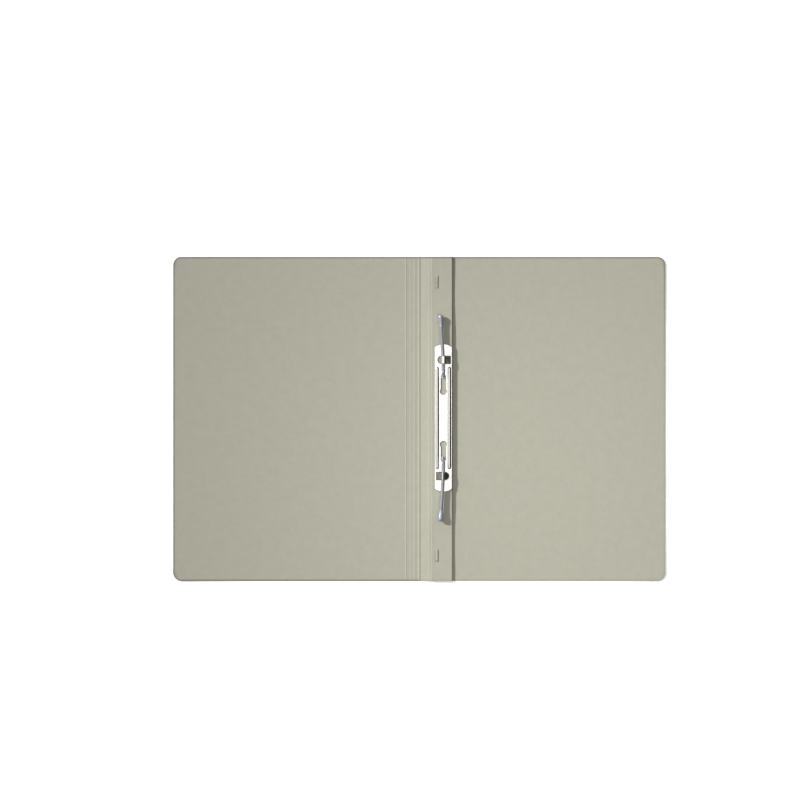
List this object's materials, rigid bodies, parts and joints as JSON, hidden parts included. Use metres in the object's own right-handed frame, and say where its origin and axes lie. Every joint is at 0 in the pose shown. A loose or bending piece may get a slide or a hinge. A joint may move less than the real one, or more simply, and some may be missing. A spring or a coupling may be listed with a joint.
{
  "type": "fastener folder",
  "caption": "Card folder lying open, with a scored spine, a raised filing strip and a metal cover bar whose hooks hold flexible wire spirals for punched sheets.",
  "frame": {"origin": "on the centre crease, halfway up the page, on the surface the open folder lies on", "axes": "+X across the open folder from the front cover to the back cover, +Y up the page, +Z away from the surface"},
  "size_m": [0.4828, 0.318, 0.0103],
  "materials": {
    "card": "matt grey-green card, coloured through, with fine fibres",
    "base_steel": "plain steel strip",
    "nickel": "bright nickel plate",
    "spiral_wire": "wound steel wire",
    "spiral_cap": "satin steel cap"
  },
  "bodies": {
    "back": {"back_cover": "card", "pleat_return": "card", "filing_strip": "card", "base_plate": "base_steel", "cover_bar": "nickel"},
    "rear_spine": {"spine_rear": "card"},
    "spine_1": {"spine_panel_1": "card"},
    "spine_2": {"spine_panel_2": "card"},
    "spine_3": {"spine_panel_3": "card"},
    "front": {"front_cover": "card"},
    "upper_spiral": {"spiral_upper": "spiral_wire", "tip_upper": "spiral_cap"},
    "lower_spiral": {"spiral_lower": "spiral_wire", "tip_lower": "spiral_cap"}
  },
  "joints": [
    {"name": "rear_crease", "type": "hinge", "parent": "back", "child": "rear_spine", "pos_m": [0.0091, 0, 0.0005], "axis": [0, 1, 0], "range_deg": [0, 40]},
    {"name": "centre_crease", "type": "hinge", "parent": "rear_spine", "child": "spine_1", "pos_m": [0, 0, 0.0005], "axis": [0, 1, 0], "range_deg": [0, 100]},
    {"name": "fill_score_1", "type": "hinge", "parent": "spine_1", "child": "spine_2", "pos_m": [-0.0042, 0, 0.0005], "axis": [0, 1, 0], "range_deg": [0, 10]},
    {"name": "fill_score_2", "type": "hinge", "parent": "spine_2", "child": "spine_3", "pos_m": [-0.0086, 0, 0.0005], "axis": [0, 1, 0], "range_deg": [0, 10]},
    {"name": "front_crease", "type": "hinge", "parent": "spine_3", "child": "front", "pos_m": [-0.013, 0, 0.0005], "axis": [0, 1, 0], "range_deg": [0, 20]},
    {"name": "spiral_upper_flex", "type": "slide", "parent": "back", "child": "upper_spiral", "axis": [-1, 0, 0], "range_m": [0, 0.0075], "stiffness_N_per_m": 30, "deforming": ["spiral_upper"]},
    {"name": "spiral_lower_flex", "type": "slide", "parent": "back", "child": "lower_spiral", "axis": [1, 0, 0], "range_m": [0, 0.0075], "stiffness_N_per_m": 30, "deforming": ["spiral_lower"]}
  ]
}
